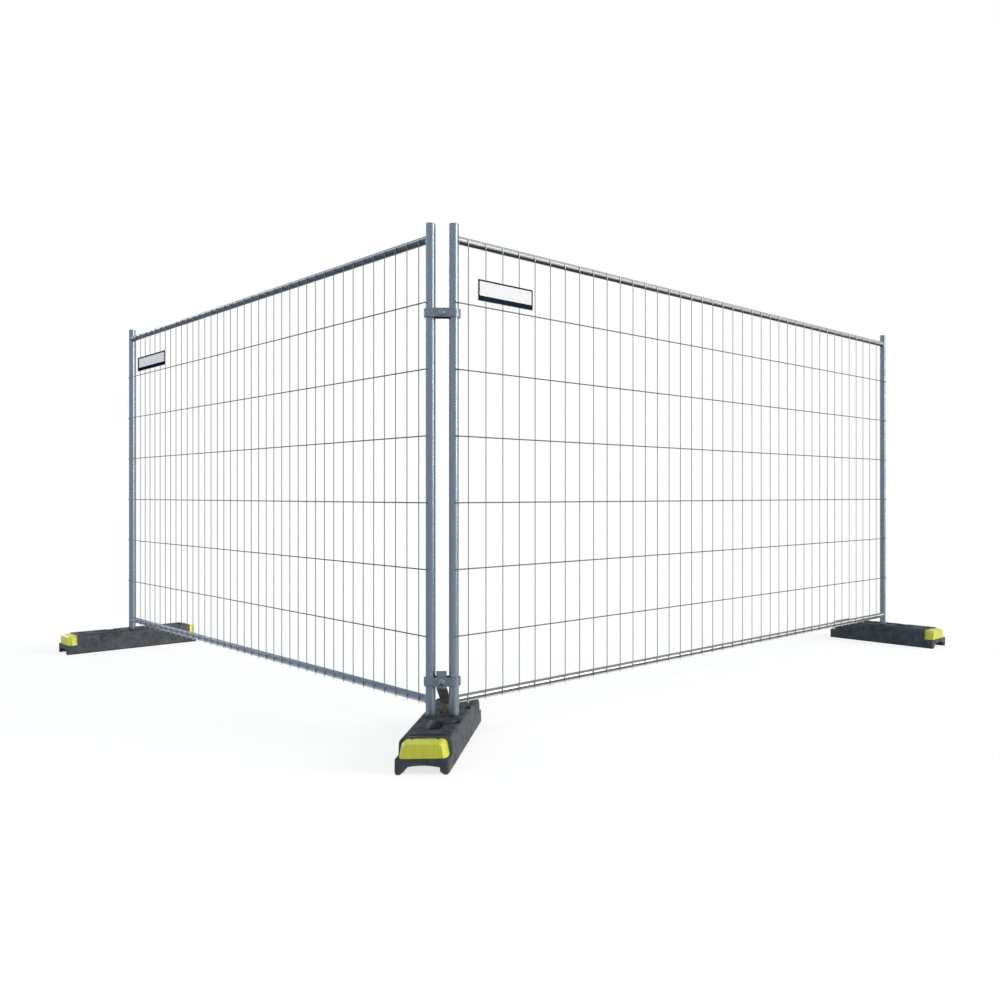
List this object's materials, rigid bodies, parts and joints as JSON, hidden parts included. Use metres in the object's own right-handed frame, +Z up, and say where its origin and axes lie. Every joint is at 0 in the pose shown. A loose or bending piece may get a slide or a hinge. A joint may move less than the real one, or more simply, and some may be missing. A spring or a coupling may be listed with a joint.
{
  "type": "temporary fence panel",
  "caption": "Free-standing corner of welded mesh site fence panels in moulded block feet with bright end caps, joined by bolted couplers and an anti-lift strap.",
  "frame": {"origin": "on the floor under the middle of the whole fence", "axes": "+Z up, +X along the wide side of the corner, the corner points towards -Y"},
  "size_m": [5.6096, 3.194, 2.0393],
  "materials": {
    "recycled_plastic": "speckled matt",
    "cap_plastic": "satin",
    "galvanised_tube": "hot-dip galvanised",
    "galvanised_wire": "galvanised",
    "plug_plastic": "matt",
    "sign_plastic": "satin",
    "plated_steel": "zinc plated",
    "strap_steel": "dark oiled steel"
  },
  "bodies": {
    "corner_stand": {"corner_foot_block": "recycled_plastic", "corner_foot_front_cap": "cap_plastic", "corner_foot_rear_cap": "cap_plastic", "top_clamp_front": "plated_steel", "top_clamp_bolt": "plated_steel", "bottom_clamp_front": "plated_steel", "bottom_clamp_bolt": "plated_steel", "anti_lift_strap": "strap_steel"},
    "left_panel": {"left_corner_post": "galvanised_tube", "left_end_post": "galvanised_tube", "left_corner_post_plug": "plug_plastic", "left_end_post_plug": "plug_plastic", "left_top_rail": "galvanised_tube", "left_bottom_rail": "galvanised_tube", "left_upright_wires": "galvanised_wire", "left_cross_wires": "galvanised_wire", "left_sign_plate": "sign_plastic"},
    "left_end_foot": {"left_foot_block": "recycled_plastic", "left_foot_outer_cap": "cap_plastic", "left_foot_inner_cap": "cap_plastic"},
    "right_panel": {"right_corner_post": "galvanised_tube", "right_end_post": "galvanised_tube", "right_corner_post_plug": "plug_plastic", "right_end_post_plug": "plug_plastic", "right_top_rail": "galvanised_tube", "right_bottom_rail": "galvanised_tube", "right_upright_wires": "galvanised_wire", "right_cross_wires": "galvanised_wire", "right_sign_plate": "sign_plastic"},
    "right_end_foot": {"right_foot_block": "recycled_plastic", "right_foot_outer_cap": "cap_plastic", "right_foot_inner_cap": "cap_plastic"},
    "top_rear_plate": {"top_clamp_rear": "plated_steel", "top_clamp_washer": "plated_steel"},
    "top_nut": {"top_clamp_nut": "plated_steel"},
    "bottom_rear_plate": {"bottom_clamp_rear": "plated_steel", "bottom_clamp_washer": "plated_steel"},
    "bottom_nut": {"bottom_clamp_nut": "plated_steel"}
  },
  "joints": [
    {"name": "left_panel_swing", "type": "hinge", "parent": "corner_stand", "child": "left_panel", "pos_m": [-0.045, -1.22201, 0.0463], "axis": [0, 0, 1], "range_deg": [-30, 45.75]},
    {"name": "left_foot_swivel", "type": "hinge", "parent": "left_panel", "child": "left_end_foot", "pos_m": [-2.44121, 1.23777, 0.0463], "axis": [0, 0, 1], "range_deg": [-90, 90]},
    {"name": "right_panel_swing", "type": "hinge", "parent": "corner_stand", "child": "right_panel", "pos_m": [0.045, -1.22201, 0.0463], "axis": [0, 0, 1], "range_deg": [-45.75, 30]},
    {"name": "right_foot_swivel", "type": "hinge", "parent": "right_panel", "child": "right_end_foot", "pos_m": [2.44121, 1.23777, 0.0463], "axis": [0, 0, 1], "range_deg": [-90, 90]},
    {"name": "top_plate_open", "type": "slide", "parent": "corner_stand", "child": "top_rear_plate", "axis": [0, 1, 0], "range_m": [0, 0.0105]},
    {"name": "top_nut_turn", "type": "hinge", "parent": "top_rear_plate", "child": "top_nut", "pos_m": [0, -1.19511, 1.6903], "axis": [0, 1, 0], "range_deg": [-36, 2196]},
    {"name": "bottom_plate_open", "type": "slide", "parent": "corner_stand", "child": "bottom_rear_plate", "axis": [0, 1, 0], "range_m": [0, 0.0105]},
    {"name": "bottom_nut_turn", "type": "hinge", "parent": "bottom_rear_plate", "child": "bottom_nut", "pos_m": [0, -1.19511, 0.2538], "axis": [0, 1, 0], "range_deg": [-36, 2196]}
  ],
  "couplings": [
    {"joint": "top_nut_turn", "follows": "top_plate_open", "rad_per_m": 3590.4},
    {"joint": "bottom_nut_turn", "follows": "bottom_plate_open", "rad_per_m": 3590.4}
  ]
}
